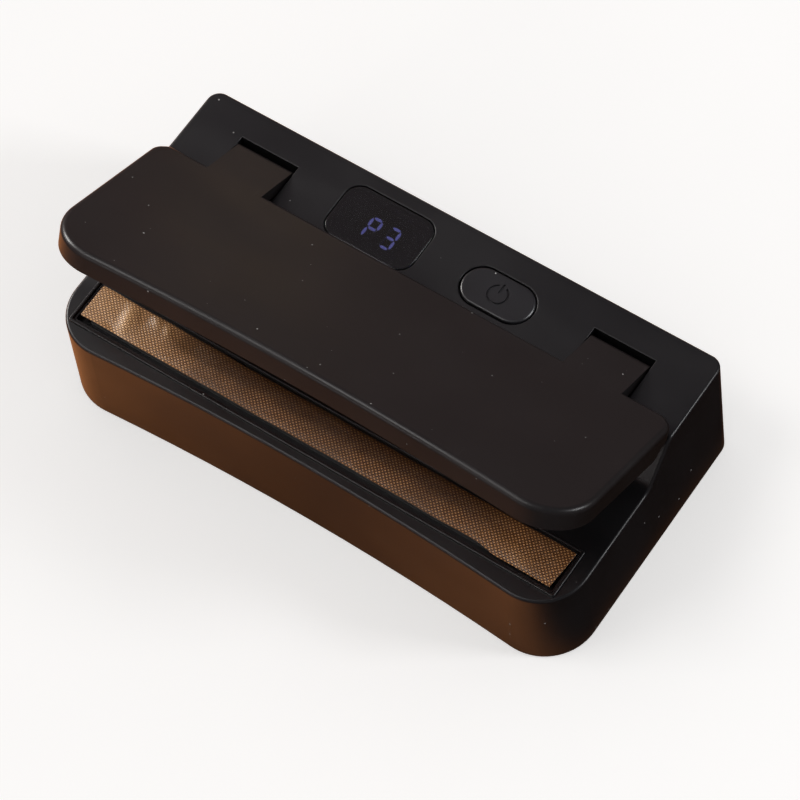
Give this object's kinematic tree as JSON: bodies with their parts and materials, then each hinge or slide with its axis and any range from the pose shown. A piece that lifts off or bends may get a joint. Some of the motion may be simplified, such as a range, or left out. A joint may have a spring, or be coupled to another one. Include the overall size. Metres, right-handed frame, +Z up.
{
  "type": "bag heat sealer",
  "caption": "Handheld bag heat sealer: block case with a sprung press lid hinged at a rear deck, a heated cloth-covered strip, a power button and a small display.",
  "frame": {"origin": "on the table, under the middle of the case", "axes": "+X along the case, to the right seen from the bag side; -Y towards the bag side; +Z up"},
  "size_m": [0.1624, 0.0816, 0.0685],
  "materials": {
    "housing_plastic": "satin moulded black",
    "lid_plastic": "satin moulded black",
    "cover_plastic": "fine spark-eroded black",
    "button_plastic": "satin moulded black",
    "tray_plastic": "satin heat-proof black",
    "window_gloss": "polished smoked black",
    "display_glow": "violet-blue light",
    "module_plastic": "plain black",
    "board_laminate": "green solder mask",
    "port_steel": "plated",
    "cell_sleeve": "shrink sleeve",
    "nickel_strip": "plated",
    "lead_sleeve": "insulated",
    "pad_silicone": "matt silicone",
    "backing_black": "matt black silicone",
    "heater_ribbon": "rolled ribbon",
    "terminal_brass": "turned",
    "glass_cloth": "tan coated glass weave",
    "pin_steel": "ground",
    "spring_steel": "drawn wire",
    "screw_steel": "blackened",
    "bar_aluminium": "extruded",
    "magnet_nickel": "plated",
    "foot_rubber": "matt"
  },
  "bodies": {
    "case": {"upper_housing": "housing_plastic", "bottom_cover": "cover_plastic", "case_screws": "screw_steel", "rubber_feet": "foot_rubber", "display_window": "window_gloss", "display_module": "module_plastic", "display_segments": "display_glow", "tact_switch": "module_plastic", "main_board": "board_laminate", "board_screws": "screw_steel", "board_chips": "module_plastic", "lid_sensor": "module_plastic", "usb_port": "port_steel", "battery_cell_front": "cell_sleeve", "battery_cell_rear": "cell_sleeve", "battery_tabs": "nickel_strip", "battery_leads": "lead_sleeve", "heater_leads": "lead_sleeve", "heater_tray": "tray_plastic", "insulating_pad": "backing_black", "heating_element": "heater_ribbon", "element_terminals": "terminal_brass", "sealing_strip": "glass_cloth", "hinge_pin_left": "pin_steel", "hinge_pin_right": "pin_steel", "return_spring_left": "spring_steel", "return_spring_right": "spring_steel"},
    "lid": {"lid_shell": "lid_plastic", "lid_inner_cover": "cover_plastic", "lid_screws": "screw_steel", "pressure_bar": "bar_aluminium", "pressure_pad": "pad_silicone", "lid_magnet": "magnet_nickel"},
    "button": {"power_button": "button_plastic", "switch_plunger": "module_plastic"}
  },
  "joints": [
    {"name": "lid_hinge", "type": "hinge", "parent": "case", "child": "lid", "pos_m": [0, 0.0271, 0.0367], "axis": [1, 0, 0], "range_deg": [0, 24.5], "stiffness_Nm_per_rad": 0.08, "springref_deg": -34.38, "deforming": ["return_spring_left", "return_spring_right"]},
    {"name": "button_press", "type": "slide", "parent": "case", "child": "button", "axis": [0, 0, -1], "range_m": [0, 0.0006], "stiffness_N_per_m": 600, "springref_m": -0.0008}
  ]
}
